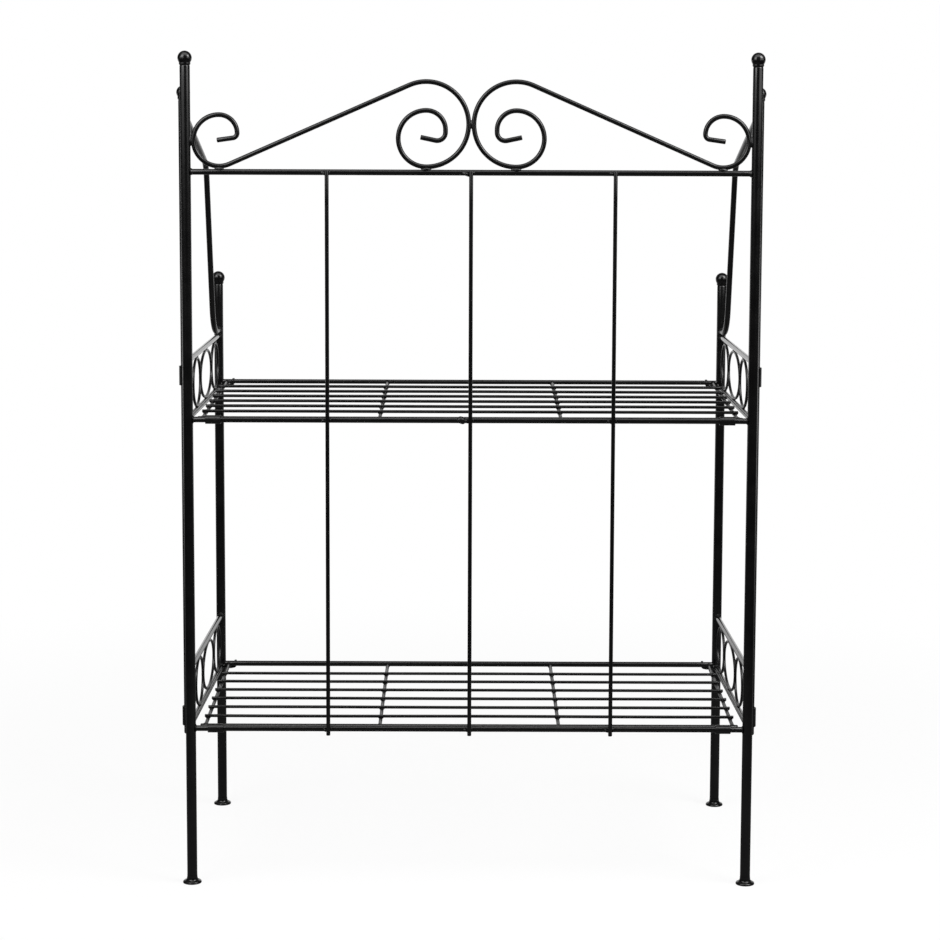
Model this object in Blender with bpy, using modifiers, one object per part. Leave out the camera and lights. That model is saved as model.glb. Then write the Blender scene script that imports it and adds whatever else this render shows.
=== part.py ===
"""Folding two-tier plant stand of black painted steel tube, rod and wire.

A tall back panel with a pair of scrolls carries two side frames on upright hinge sleeves, and two
wire shelves on sleeves that turn round its rails. The front edge of each shelf rests in hooks on the
front posts. Metres, +Z up, the origin on the floor under the middle of the stand, +Y from the back
panel to the front posts.
"""

import math

import bmesh
import bpy
from mathutils import Matrix, Vector

# Overall layout
PANEL_WIDTH = 0.580
STAND_DEPTH = 0.300
LOWER_SHELF_HEIGHT = 0.1656
TIER_SPACING = 0.3244
TOP_RAIL_RISE = 0.2537
BACK_POST_RISE = 0.1080
GALLERY_HEIGHT = 0.060
GALLERY_DROP = 0.0025
REAR_POST_RISE = 0.2693
FRONT_POST_RISE = 0.0588
REAR_POST_TAIL = 0.006
REAR_POST_SHIFT = 0.003
FRONT_POST_SHIFT = 0.004

# Tubes, rods and wires, given as diameters
POST_DIAMETER = 0.0105
POST_BORE = 0.0085
PANEL_RAIL_DIAMETER = 0.006
UPRIGHT_DIAMETER = 0.0042
SCROLL_DIAMETER = 0.005
GALLERY_RAIL_DIAMETER = 0.006
RING_DIAMETER = 0.003
SWEEP_DIAMETER = 0.0063
SHELF_ROD_DIAMETER = 0.006
SHELF_WIRE_DIAMETER = 0.0033
CROSS_WIRE_DIAMETER = 0.0038
HOOK_DIAMETER = 0.0028

# Clearances
SEAT_GAP = 0.0003
TURNING_GAP = 0.0003
WELD_DEPTH = 0.0006
SHELF_END_GAP = 0.0022

# Finials and feet
FINIAL_DIAMETER = 0.0146
COLLAR_DIAMETER = 0.0118
COLLAR_HEIGHT = 0.0015
SPIGOT_LENGTH = 0.006
FOOT_DIAMETER = 0.0195
FOOT_RIM_HEIGHT = 0.0022
FOOT_EDGE_RADIUS = 0.0008
FOOT_SHOULDER_DIAMETER = 0.012
FOOT_SHOULDER_RISE = 0.0013

# Hinge sleeves of the side frames
HINGE_WALL = 0.0014
HINGE_LENGTH = 0.020

# Back panel wires
UPRIGHT_SPACING = 0.1466
UPRIGHT_TOP_OVERRUN = 0.002
UPRIGHT_FOOT_OVERRUN = 0.006

# Scrolls, radii at the middle of the wire
LARGE_TURN_RADIUS = 0.043
LARGE_RETURN_RADIUS = 0.0285
LARGE_EYE_RADIUS = 0.0195
LARGE_EYE_DROP = 0.0025
LARGE_BEND_RADIUS = 0.0085
LARGE_TAIL_LENGTH = 0.0155
LARGE_TAIL_RISE = math.radians(12)
SMALL_TURN_RADIUS = 0.026
SMALL_EYE_RADIUS = 0.0185
SMALL_BEND_RADIUS = 0.005
SMALL_TAIL_LENGTH = 0.0165
SMALL_TAIL_RISE = math.radians(-8)

# Side frames, ring lengths over the wire, the row set forward of the frame's middle
END_RING_LENGTH = 0.062
MIDDLE_RING_LENGTH = 0.098
RING_ROW_SHIFT = 0.023
SWEEP_DROP = 0.0146
SWEEP_SLOPE = math.radians(18)
SWEEP_KNEE_SETBACK = 0.1037
SWEEP_KNEE_RADIUS = 0.028
SWEEP_FOOT_SETBACK = 0.0502
SWEEP_FOOT_RADIUS = 0.040

# Shelves, tilted up a little towards the front
SHELF_TILT = math.radians(0.5)
FRONT_RAIL_SETBACK = 0.0115
SHELF_WIRE_COUNT = 6
FIRST_WIRE_SETBACK = 0.0405
LAST_WIRE_SETBACK = 0.0565
INNER_CROSS_SPACING = 0.187
END_CROSS_SETBACK = 0.0048
WIRE_END_OVERRUN = 0.0035
SHELF_SLEEVE_LENGTH = 0.016
SHELF_SLEEVE_WALL = 0.0012
SHELF_SLEEVE_GAP = 0.0125
HOOK_UNDER_REACH = 0.0112
HOOK_TIP_REACH = 0.017
HOOK_TIP_RISE = 0.0055
HOOK_TIP_CLEARANCE = 0.001
HOOK_BEND_RADIUS = 0.003

# Roundness of the solids
TUBE_SIDES = 16
TURNED_STEPS = 12
ARC_STEP = math.radians(15)
BALL_STEP = math.radians(26)
RING_POINTS = 20
BEND_STEPS = 3

# Paint
BLACK_PAINT = (0.012, 0.012, 0.013, 1.0)
PAINT_ROUGHNESS = 0.38
FOOT_COLOUR = (0.016, 0.016, 0.017, 1.0)
FOOT_ROUGHNESS = 0.55

# Places worked out from the sizes above
POST_RADIUS = POST_DIAMETER / 2
PANEL_RAIL_RADIUS = PANEL_RAIL_DIAMETER / 2
GALLERY_RAIL_RADIUS = GALLERY_RAIL_DIAMETER / 2
SHELF_ROD_RADIUS = SHELF_ROD_DIAMETER / 2
BACK_Y = -STAND_DEPTH / 2
FRONT_Y = STAND_DEPTH / 2
FRONT_X = PANEL_WIDTH / 2 - FRONT_POST_SHIFT
UPPER_SHELF_HEIGHT = LOWER_SHELF_HEIGHT + TIER_SPACING
TOP_RAIL_HEIGHT = UPPER_SHELF_HEIGHT + TOP_RAIL_RISE
UPPER_GALLERY_FOOT = UPPER_SHELF_HEIGHT - GALLERY_DROP
LOWER_GALLERY_FOOT = LOWER_SHELF_HEIGHT - GALLERY_DROP
UPPER_GALLERY_TOP = UPPER_GALLERY_FOOT + GALLERY_HEIGHT
FOOT_SHOULDER_HEIGHT = FOOT_RIM_HEIGHT + FOOT_SHOULDER_RISE
POST_FOOT = FOOT_SHOULDER_HEIGHT + SEAT_GAP
BACK_POST_TOP = TOP_RAIL_HEIGHT + BACK_POST_RISE
REAR_POST_TOP = UPPER_GALLERY_TOP + REAR_POST_RISE
REAR_POST_FOOT = LOWER_GALLERY_FOOT - REAR_POST_TAIL
FRONT_POST_TOP = UPPER_GALLERY_TOP + FRONT_POST_RISE
HINGE_BORE_RADIUS = POST_RADIUS + TURNING_GAP
HINGE_RADIUS = HINGE_BORE_RADIUS + HINGE_WALL
HINGE_REACH = POST_RADIUS + SEAT_GAP + HINGE_RADIUS
HINGE_OFFSET = math.sqrt(HINGE_REACH**2 - REAR_POST_SHIFT**2)
SIDE_AXIS_X = PANEL_WIDTH / 2 + REAR_POST_SHIFT
SIDE_AXIS_Y = BACK_Y + HINGE_OFFSET
SIDE_RUN = FRONT_Y - SIDE_AXIS_Y
SIDE_LENGTH = math.hypot(SIDE_RUN, SIDE_AXIS_X - FRONT_X)
TOE_IN = math.atan2(SIDE_AXIS_X - FRONT_X, SIDE_RUN)
SHELF_DEPTH = STAND_DEPTH - FRONT_RAIL_SETBACK
SHELF_SLEEVE_BORE_RADIUS = PANEL_RAIL_RADIUS + TURNING_GAP
SHELF_SLEEVE_RADIUS = SHELF_SLEEVE_BORE_RADIUS + SHELF_SLEEVE_WALL
REAR_ROD_SETBACK = SHELF_SLEEVE_RADIUS + SEAT_GAP + SHELF_ROD_RADIUS
SHELF_SLEEVE_END = PANEL_WIDTH / 2 - POST_RADIUS - SHELF_SLEEVE_GAP
SHELF_HALF_LENGTH = FRONT_X - GALLERY_RAIL_RADIUS - SHELF_END_GAP
END_CROSS_X = SHELF_HALF_LENGTH - END_CROSS_SETBACK
SIDES = (("left", -1), ("right", 1))


def clear_scene():
    """Take every object out of the open file."""
    for old in list(bpy.data.objects):
        bpy.data.objects.remove(old, do_unlink=True)


def new_collection(name, hidden=False):
    made = bpy.data.collections.new(name)
    bpy.context.scene.collection.children.link(made)
    made.hide_render = hidden
    return made


def paint(name, colour=BLACK_PAINT, roughness=PAINT_ROUGHNESS, metallic=0.0):
    """A plain painted surface."""
    made = bpy.data.materials.new(name + "_paint")
    made.use_nodes = True
    shader = made.node_tree.nodes["Principled BSDF"]
    shader.inputs["Base Color"].default_value = colour
    shader.inputs["Roughness"].default_value = roughness
    shader.inputs["Metallic"].default_value = metallic
    return made


def place(made, parent, location=(0, 0, 0), material=None, helper=False):
    """Hang an object on its parent empty and put it in the parts or among the helpers."""
    made.location = location
    made.parent = parent
    (HELPERS if helper else PARTS).objects.link(made)
    if helper:
        made.hide_render = True
        made.display_type = "WIRE"
    elif made.data is not None:
        made.data.materials.append(material or paint(made.name))
    return made


def axis_empty(name, location, turn=0.0, parent=None, tilt=0.0):
    made = bpy.data.objects.new(name, None)
    made.empty_display_size = 0.05
    made.rotation_euler = (tilt, 0, turn)
    return place(made, parent, location)


def rod_curve(name, points, diameter, cyclic=False, roundness=2):
    """A round rod along straight steps between the points, with closed ends."""
    curve = bpy.data.curves.new(name, "CURVE")
    curve.dimensions = "3D"
    curve.bevel_depth = diameter / 2
    curve.bevel_resolution = roundness
    curve.use_fill_caps = not cyclic
    spline = curve.splines.new("POLY")
    spline.points.add(len(points) - 1)
    for spot, point in zip(spline.points, points):
        spot.co = (*point, 1.0)
    spline.use_cyclic_u = cyclic
    return bpy.data.objects.new(name, curve)


def rod(name, points, diameter, parent, roundness=2):
    return place(rod_curve(name, points, diameter, roundness=roundness), parent)


def as_mesh(curve_object):
    """A closed mesh object made from a rod, so that a Boolean can join it to others."""
    bpy.context.scene.collection.objects.link(curve_object)
    graph = bpy.context.evaluated_depsgraph_get()
    mesh = bpy.data.meshes.new_from_object(curve_object.evaluated_get(graph))
    shape = bmesh.new()
    shape.from_mesh(mesh)
    bmesh.ops.remove_doubles(shape, verts=shape.verts, dist=1e-6)
    shape.to_mesh(mesh)
    shape.free()
    name = curve_object.name
    bpy.data.objects.remove(curve_object, do_unlink=True)
    mesh.shade_smooth()
    return bpy.data.objects.new(name, mesh)


def welded_rods(name, rods, parent):
    """One body joined from rods that bite into each other by the depth of their welds."""
    meshes = [as_mesh(one) for one in rods]
    body = place(meshes[0], parent)
    body.name = name
    for helper in meshes[1:]:
        place(helper, parent, helper=True)
        join = body.modifiers.new("weld_" + helper.name, "BOOLEAN")
        join.operation = "UNION"
        join.solver = "EXACT"
        join.object = helper
    return body


def turned(name, profile, parent, location, steps=TURNED_STEPS, closed=False, **finish):
    """A profile of (radius, height) points, down its outer side, turned about the upright axis."""
    mesh = bpy.data.meshes.new(name)
    shape = bmesh.new()
    spots = [shape.verts.new((radius, 0, height)) for radius, height in profile]
    for first, second in zip(spots, spots[1:]):
        shape.edges.new((first, second))
    if closed:
        shape.edges.new((spots[-1], spots[0]))
    shape.to_mesh(mesh)
    shape.free()
    made = bpy.data.objects.new(name, mesh)
    screw = made.modifiers.new("turn", "SCREW")
    screw.axis = "Z"
    screw.steps = steps
    screw.render_steps = steps
    screw.use_merge_vertices = True
    screw.merge_threshold = 0.00001
    screw.use_smooth_shade = True
    return place(made, parent, location, paint(name, **finish))


def tube(name, outer, bore, bottom, top, parent, location):
    """An open tube from its bottom to its top height."""
    profile = [(outer, top), (outer, bottom), (bore, bottom), (bore, top)]
    return turned(name, profile, parent, location, steps=TUBE_SIDES, closed=True)


def arc(centre, radius, start, end, step=ARC_STEP):
    """Points of an arc in a plane, from one angle to another, without its first point."""
    count = max(2, math.ceil(abs(end - start) / step - 0.001))
    angles = [start + (end - start) * i / count for i in range(1, count + 1)]
    return [(centre[0] + radius * math.cos(a), centre[1] + radius * math.sin(a)) for a in angles]


def fillet(before, corner, after, radius):
    """Points of the round bend that takes a corner between two straight runs."""
    run_in = math.atan2(corner[1] - before[1], corner[0] - before[0])
    run_out = math.atan2(after[1] - corner[1], after[0] - corner[0])
    turn = math.remainder(run_out - run_in, math.tau)
    side = math.copysign(1, turn)
    setback = radius * math.tan(abs(turn) / 2)
    start = (corner[0] - setback * math.cos(run_in), corner[1] - setback * math.sin(run_in))
    centre = (start[0] - side * radius * math.sin(run_in), start[1] + side * radius * math.cos(run_in))
    first_angle = run_in - side * math.pi / 2
    return [start] + arc(centre, radius, first_angle, first_angle + turn)


def post(name, parent, location, bottom, top):
    return tube(name, POST_RADIUS, POST_BORE / 2, bottom, top, parent, location)


def finial(name, parent, location, post_top):
    """A ball on a short collar, with a spigot that drops into the tube."""
    ball = FINIAL_DIAMETER / 2
    collar = COLLAR_DIAMETER / 2
    seat = post_top + SEAT_GAP
    spigot = POST_BORE / 2 - SEAT_GAP
    neck_angle = math.acos((collar - WELD_DEPTH) / ball)
    centre = seat + COLLAR_HEIGHT + ball * math.sin(neck_angle)
    profile = [(0, centre + ball)] + arc((0, centre), ball, math.pi / 2, -neck_angle, BALL_STEP) + [
        (collar, seat + COLLAR_HEIGHT),
        (collar, seat),
        (spigot, seat),
        (spigot, seat - SPIGOT_LENGTH),
        (0, seat - SPIGOT_LENGTH),
    ]
    return turned(name, profile, parent, location)


def foot(name, parent, location):
    """A flat pad whose top slopes up to a shoulder, and a spigot that goes up into the tube."""
    pad = FOOT_DIAMETER / 2
    spigot = POST_BORE / 2 - SEAT_GAP
    edge = (pad - FOOT_EDGE_RADIUS, FOOT_RIM_HEIGHT - FOOT_EDGE_RADIUS)
    profile = [
        (0, FOOT_SHOULDER_HEIGHT + SPIGOT_LENGTH),
        (spigot, FOOT_SHOULDER_HEIGHT + SPIGOT_LENGTH),
        (spigot, FOOT_SHOULDER_HEIGHT),
        (FOOT_SHOULDER_DIAMETER / 2, FOOT_SHOULDER_HEIGHT),
        (edge[0], FOOT_RIM_HEIGHT),
    ]
    profile += arc(edge, FOOT_EDGE_RADIUS, math.pi / 2, 0) + [(pad, 0), (0, 0)]
    return turned(name, profile, parent, location, TUBE_SIDES, colour=FOOT_COLOUR, roughness=FOOT_ROUGHNESS)


def scroll_path():
    """The left scroll as (across, up) points, from its large eye to its small one.

    Across is measured from the middle of the panel and up from the underside turn. Every turn is an
    arc that meets the next one in line, and the long run is the crossing tangent of the two turns.
    """
    large_x = -SCROLL_DIAMETER / 2 - SEAT_GAP / 2 - LARGE_TURN_RADIUS
    post_side = PANEL_WIDTH / 2 - POST_RADIUS - SEAT_GAP - SCROLL_DIAMETER / 2
    small_x = SMALL_TURN_RADIUS - post_side
    large = (large_x, LARGE_TURN_RADIUS)
    small = (small_x, SMALL_TURN_RADIUS)
    across = large[0] - small[0]
    up = large[1] - small[1]
    reach = LARGE_TURN_RADIUS + SMALL_TURN_RADIUS
    slope = math.asin(reach / math.hypot(across, up)) + math.atan2(up, across)

    eye = (large_x, 2 * LARGE_RETURN_RADIUS - LARGE_EYE_RADIUS)
    bend = (eye[0] + LARGE_EYE_RADIUS - LARGE_BEND_RADIUS, eye[1] - LARGE_EYE_DROP)
    bend_end = -math.pi / 2 - LARGE_TAIL_RISE
    path = tail(bend, LARGE_BEND_RADIUS, bend_end, LARGE_TAIL_LENGTH)
    path += arc(bend, LARGE_BEND_RADIUS, bend_end, 0, 2 * ARC_STEP)
    path += arc(eye, LARGE_EYE_RADIUS, 0, math.pi / 2)
    path += arc((large_x, LARGE_RETURN_RADIUS), LARGE_RETURN_RADIUS, math.pi / 2, 3 * math.pi / 2)
    path += arc(large, LARGE_TURN_RADIUS, -math.pi / 2, math.pi / 2 + slope)

    small_eye = (small_x, 2 * SMALL_TURN_RADIUS - SMALL_EYE_RADIUS)
    small_bend = (small_eye[0] + SMALL_EYE_RADIUS - SMALL_BEND_RADIUS, small_eye[1])
    small_end = -math.pi / 2 - SMALL_TAIL_RISE
    touch = slope - math.pi / 2
    path += arc(small, SMALL_TURN_RADIUS, touch, touch, 1)[:1]
    path += arc(small, SMALL_TURN_RADIUS, touch, -3 * math.pi / 2)
    path += arc(small_eye, SMALL_EYE_RADIUS, math.pi / 2, 0)
    path += arc(small_bend, SMALL_BEND_RADIUS, 0, small_end, 2 * ARC_STEP)
    path += tail(small_bend, SMALL_BEND_RADIUS, small_end, SMALL_TAIL_LENGTH)[:1]
    return path


def tail(bend, radius, angle, length):
    """The straight end of a wire: its tip, then the point where the eye's last bend starts."""
    start = (bend[0] + radius * math.cos(angle), bend[1] + radius * math.sin(angle))
    run = angle - math.pi / 2
    return [(start[0] + length * math.cos(run), start[1] + length * math.sin(run)), start]


def back_panel(root):
    """Posts, finials, feet, rails, uprights, scrolls and the four hinge sleeves."""
    rail_end = PANEL_WIDTH / 2 - POST_RADIUS - SEAT_GAP
    for side, sign in SIDES:
        spot = (sign * PANEL_WIDTH / 2, BACK_Y, 0)
        post("back_post_" + side, root, spot, POST_FOOT, BACK_POST_TOP)
        finial("back_finial_" + side, root, spot, BACK_POST_TOP)
        foot("back_foot_" + side, root, spot)

    rails = (("top_rail", TOP_RAIL_HEIGHT), ("upper_shelf_rail", UPPER_SHELF_HEIGHT),
             ("lower_shelf_rail", LOWER_SHELF_HEIGHT))
    for name, height in rails:
        ends = [(-rail_end, BACK_Y, height), (rail_end, BACK_Y, height)]
        rod(name, ends, PANEL_RAIL_DIAMETER, root, roundness=3)

    upright_y = BACK_Y - PANEL_RAIL_RADIUS - SEAT_GAP - UPRIGHT_DIAMETER / 2
    upright_top = TOP_RAIL_HEIGHT + UPRIGHT_TOP_OVERRUN
    upright_foot = LOWER_SHELF_HEIGHT - UPRIGHT_FOOT_OVERRUN
    for name, step in (("left", -1), ("centre", 0), ("right", 1)):
        x = step * UPRIGHT_SPACING
        rod("upright_" + name, [(x, upright_y, upright_foot), (x, upright_y, upright_top)],
            UPRIGHT_DIAMETER, root)

    scroll_base = TOP_RAIL_HEIGHT + PANEL_RAIL_RADIUS + SEAT_GAP + SCROLL_DIAMETER / 2
    for side, sign in SIDES:
        points = [(-sign * across, BACK_Y, scroll_base + up) for across, up in scroll_path()]
        rod("scroll_" + side, points, SCROLL_DIAMETER, root)

    upper_hinge_top = UPPER_GALLERY_TOP - GALLERY_RAIL_RADIUS - SEAT_GAP
    lower_hinge_foot = LOWER_GALLERY_FOOT + GALLERY_RAIL_RADIUS + SEAT_GAP
    for side, sign in SIDES:
        spot = (sign * SIDE_AXIS_X, SIDE_AXIS_Y, 0)
        for tier, low in (("upper", upper_hinge_top - HINGE_LENGTH), ("lower", lower_hinge_foot)):
            tube(f"hinge_sleeve_{side}_{tier}", HINGE_RADIUS, HINGE_BORE_RADIUS, low, low + HINGE_LENGTH,
                 root, spot)


def ring(name, middle, height, length, width):
    """A closed oval of wire in the side frame's plane, its length and width over the wire."""
    along = (length - RING_DIAMETER) / 2
    up = (width - RING_DIAMETER) / 2
    angles = [math.tau * i / RING_POINTS for i in range(RING_POINTS)]
    points = [(0, middle + along * math.cos(a), height + up * math.sin(a)) for a in angles]
    return rod_curve(name, points, RING_DIAMETER, cyclic=True, roundness=1)


def ring_row(name, axis, gallery_foot):
    """Three ovals in a row between the gallery rails, welded where they touch."""
    middle = SIDE_LENGTH / 2 + RING_ROW_SHIFT
    height = gallery_foot + GALLERY_HEIGHT / 2
    width = GALLERY_HEIGHT - GALLERY_RAIL_DIAMETER - 2 * SEAT_GAP
    step = (MIDDLE_RING_LENGTH + END_RING_LENGTH) / 2 - WELD_DEPTH
    rings = [
        ring(name + "_middle", middle, height, MIDDLE_RING_LENGTH, width),
        ring(name + "_rear", middle - step, height, END_RING_LENGTH, width),
        ring(name + "_front", middle + step, height, END_RING_LENGTH, width),
    ]
    return welded_rods(name, rings, axis)


def sweep_path():
    """The side frame's upper rail as (forward, up) points, from the rear post to the front one."""
    end_lean = SWEEP_DIAMETER / 2 * math.sin(SWEEP_SLOPE)
    start = (POST_RADIUS + SEAT_GAP + end_lean, REAR_POST_TOP - SWEEP_DROP)
    knee = SIDE_LENGTH - SWEEP_KNEE_SETBACK
    top_corner = (knee, start[1] - (knee - start[0]) * math.tan(SWEEP_SLOPE))
    end_height = UPPER_GALLERY_TOP + GALLERY_RAIL_RADIUS + SEAT_GAP + SWEEP_DIAMETER / 2
    low_corner = (SIDE_LENGTH - SWEEP_FOOT_SETBACK, end_height)
    end = (SIDE_LENGTH - POST_RADIUS - SEAT_GAP, end_height)
    path = [start] + fillet(start, top_corner, low_corner, SWEEP_KNEE_RADIUS)
    path += fillet(top_corner, low_corner, end, SWEEP_FOOT_RADIUS) + [end]
    return path


def rounded(points, radius):
    """A path through space whose corners are taken by short bends."""
    path = [Vector(points[0])]
    for before, corner, after in zip(points, points[1:], points[2:]):
        corner = Vector(corner)
        back = Vector(before) - corner
        ahead = Vector(after) - corner
        first = corner + back.normalized() * min(radius, back.length / 2.1)
        last = corner + ahead.normalized() * min(radius, ahead.length / 2.1)
        for step in range(BEND_STEPS + 1):
            share = step / BEND_STEPS
            path.append(first.lerp(corner, share).lerp(corner.lerp(last, share), share))
    return path + [Vector(points[-1])]


def shelf_hook(name, axis, sign, shelf_height):
    """A bent wire on the front post: under the shelf's front rail, then up before it."""
    rail_y = BACK_Y + SHELF_DEPTH * math.cos(SHELF_TILT)
    rail_height = shelf_height + SHELF_DEPTH * math.sin(SHELF_TILT)
    low = rail_height - SHELF_ROD_RADIUS - SEAT_GAP - HOOK_DIAMETER / 2
    post_spot = Vector((sign * FRONT_X, FRONT_Y, low))
    under = Vector((sign * (FRONT_X - HOOK_UNDER_REACH), rail_y, low))
    tip_y = rail_y + SHELF_ROD_RADIUS + HOOK_TIP_CLEARANCE + HOOK_DIAMETER / 2
    tip_foot = Vector((sign * (FRONT_X - HOOK_TIP_REACH), tip_y, low))
    tip = tip_foot + Vector((0, 0, rail_height + HOOK_TIP_RISE - low))
    start = post_spot + (under - post_spot).normalized() * (POST_RADIUS + SEAT_GAP)
    to_frame = Matrix.Rotation(-sign * TOE_IN, 3, "Z")
    hinge = Vector((sign * SIDE_AXIS_X, SIDE_AXIS_Y, 0))
    path = rounded([start, under, tip_foot, tip], HOOK_BEND_RADIUS)
    return rod(name, [to_frame @ (point - hinge) for point in path], HOOK_DIAMETER, axis)


def side_frame(side, sign, axis):
    """One hinged end: two posts, the sweeping rail, two galleries with ring rows, and shelf hooks."""
    rear = (0, 0, 0)
    front = (0, SIDE_LENGTH, 0)
    post(f"{side}_rear_post", axis, rear, REAR_POST_FOOT, REAR_POST_TOP)
    finial(f"{side}_rear_finial", axis, rear, REAR_POST_TOP)
    post(f"{side}_front_post", axis, front, POST_FOOT, FRONT_POST_TOP)
    finial(f"{side}_front_finial", axis, front, FRONT_POST_TOP)
    foot(f"{side}_front_foot", axis, front)

    sweep = [(0, forward, up) for forward, up in sweep_path()]
    rod(f"{side}_sweep_rail", sweep, SWEEP_DIAMETER, axis)

    rail_ends = (POST_RADIUS + SEAT_GAP, SIDE_LENGTH - POST_RADIUS - SEAT_GAP)
    tiers = (("upper", UPPER_SHELF_HEIGHT), ("lower", LOWER_SHELF_HEIGHT))
    for tier, shelf_height in tiers:
        gallery_foot = shelf_height - GALLERY_DROP
        for edge, height in (("bottom", gallery_foot), ("top", gallery_foot + GALLERY_HEIGHT)):
            ends = [(0, forward, height) for forward in rail_ends]
            rod(f"{side}_{tier}_gallery_{edge}", ends, GALLERY_RAIL_DIAMETER, axis, roundness=3)
        ring_row(f"{side}_{tier}_rings", axis, gallery_foot)
        shelf_hook(f"{side}_{tier}_hook", axis, sign, shelf_height)


def shelf(tier, axis):
    """One folding shelf: two sleeves round the panel's rail, a rod at the back and the front, a wire grid."""
    for side, sign in SIDES:
        middle = sign * (SHELF_SLEEVE_END - SHELF_SLEEVE_LENGTH / 2)
        sleeve = tube(f"{tier}_shelf_sleeve_{side}", SHELF_SLEEVE_RADIUS, SHELF_SLEEVE_BORE_RADIUS,
                      -SHELF_SLEEVE_LENGTH / 2, SHELF_SLEEVE_LENGTH / 2, axis, (middle, 0, 0))
        sleeve.rotation_euler = (0, math.pi / 2, 0)

    for place, setback in (("rear", REAR_ROD_SETBACK), ("front", SHELF_DEPTH)):
        ends = [(-SHELF_HALF_LENGTH, setback, 0), (SHELF_HALF_LENGTH, setback, 0)]
        rod(f"{tier}_shelf_{place}_rail", ends, SHELF_ROD_DIAMETER, axis)

    cross_front = SHELF_DEPTH - SHELF_ROD_RADIUS - SEAT_GAP
    cross_rear = REAR_ROD_SETBACK + SHELF_ROD_RADIUS + SEAT_GAP
    inner = INNER_CROSS_SPACING / 2
    rods = []
    for number, x in enumerate((-END_CROSS_X, -inner, inner, END_CROSS_X), 1):
        ends = [(x, cross_rear, 0), (x, cross_front, 0)]
        rods.append(rod_curve(f"{tier}_cross_wire_{number}", ends, CROSS_WIRE_DIAMETER, roundness=1))

    lift = (CROSS_WIRE_DIAMETER + SHELF_WIRE_DIAMETER) / 2 - WELD_DEPTH
    pitch = (SHELF_DEPTH - LAST_WIRE_SETBACK - FIRST_WIRE_SETBACK) / (SHELF_WIRE_COUNT - 1)
    wire_end = END_CROSS_X + WIRE_END_OVERRUN
    for number in range(SHELF_WIRE_COUNT):
        y = FIRST_WIRE_SETBACK + number * pitch
        ends = [(-wire_end, y, lift), (wire_end, y, lift)]
        rods.append(rod_curve(f"{tier}_long_wire_{number + 1}", ends, SHELF_WIRE_DIAMETER, roundness=1))
    welded_rods(f"{tier}_shelf_grid", rods, axis)


clear_scene()
PARTS = new_collection("plant_stand")
HELPERS = new_collection("weld_helpers", hidden=True)

panel_root = axis_empty("back_panel_root", (0, 0, 0))
back_panel(panel_root)
for side_name, side_sign in SIDES:
    hinge_spot = (side_sign * SIDE_AXIS_X, SIDE_AXIS_Y, 0)
    side_axis = axis_empty(side_name + "_side_axis", hinge_spot, side_sign * TOE_IN, panel_root)
    side_frame(side_name, side_sign, side_axis)
for tier_name, tier_height in (("upper", UPPER_SHELF_HEIGHT), ("lower", LOWER_SHELF_HEIGHT)):
    shelf_axis = axis_empty(tier_name + "_shelf_axis", (0, BACK_Y, tier_height), 0, panel_root, SHELF_TILT)
    shelf(tier_name, shelf_axis)
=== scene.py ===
# %% [markdown]
# # A folding plant stand in black powder coat
# The stand is a tall scrolled panel, two hinged ends and two wire shelves, all of round steel. Its
# solids come packed from CAD as the frame. This lesson gives each of them a smooth surface, the welds
# that join it to its neighbours, and a coat of paint.

import bpy
import numpy as np
from mathutils import Euler, Matrix, Vector


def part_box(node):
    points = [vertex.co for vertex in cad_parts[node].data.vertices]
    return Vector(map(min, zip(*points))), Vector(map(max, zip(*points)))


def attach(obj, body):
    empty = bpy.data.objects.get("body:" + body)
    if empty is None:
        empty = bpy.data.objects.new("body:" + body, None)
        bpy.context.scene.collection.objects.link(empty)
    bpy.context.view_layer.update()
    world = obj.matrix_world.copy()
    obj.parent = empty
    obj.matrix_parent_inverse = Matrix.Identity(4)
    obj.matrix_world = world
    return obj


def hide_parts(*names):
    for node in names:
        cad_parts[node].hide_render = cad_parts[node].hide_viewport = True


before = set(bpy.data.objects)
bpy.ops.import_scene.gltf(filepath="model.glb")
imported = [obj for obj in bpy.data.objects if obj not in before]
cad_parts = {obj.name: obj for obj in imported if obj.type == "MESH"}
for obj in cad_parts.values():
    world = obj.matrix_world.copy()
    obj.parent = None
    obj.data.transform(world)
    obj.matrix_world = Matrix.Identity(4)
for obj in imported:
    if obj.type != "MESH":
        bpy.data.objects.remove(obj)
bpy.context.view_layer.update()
scene = bpy.context.scene

# %% [markdown]
# ## Where things are
# Most of the stand is straight round rod, so the box round a CAD node is enough to find it: the middle
# of the box lies on the rod's axis, and its ends are the rod's ends. Measured places follow the solids
# when they change.

# %% Measuring the nodes
ACROSS, UP = 0, 2


def span(node):
    """The low and the high corner of a CAD node's box, as two arrays."""
    low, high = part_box(node)
    return np.array(low), np.array(high)


def middle(node):
    """The middle of a CAD node's box: half of the sum of its corners."""
    return sum(span(node)) / 2


def ends(node, axis):
    """Both ends of a rod: the middle of its box, moved along the axis to the low and the high side."""
    low, high = middle(node), middle(node)
    low[axis], high[axis] = (corner[axis] for corner in span(node))
    return low, high


_, BACK_Y, TOP_RAIL_Z = middle("top_rail")
print("back panel at y", round(BACK_Y, 4), "top rail at z", round(TOP_RAIL_Z, 4))

# %% [markdown]
# ## Skins
# All the metal here is a closed skin over rings of points: a circle that is carried along a wire, or
# turned about an axis. One helper lays quads between neighbouring rings and closes each end with a fan
# to a pole, with the corner order that turns every face outwards.

# %% From rings of points to a mesh


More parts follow.
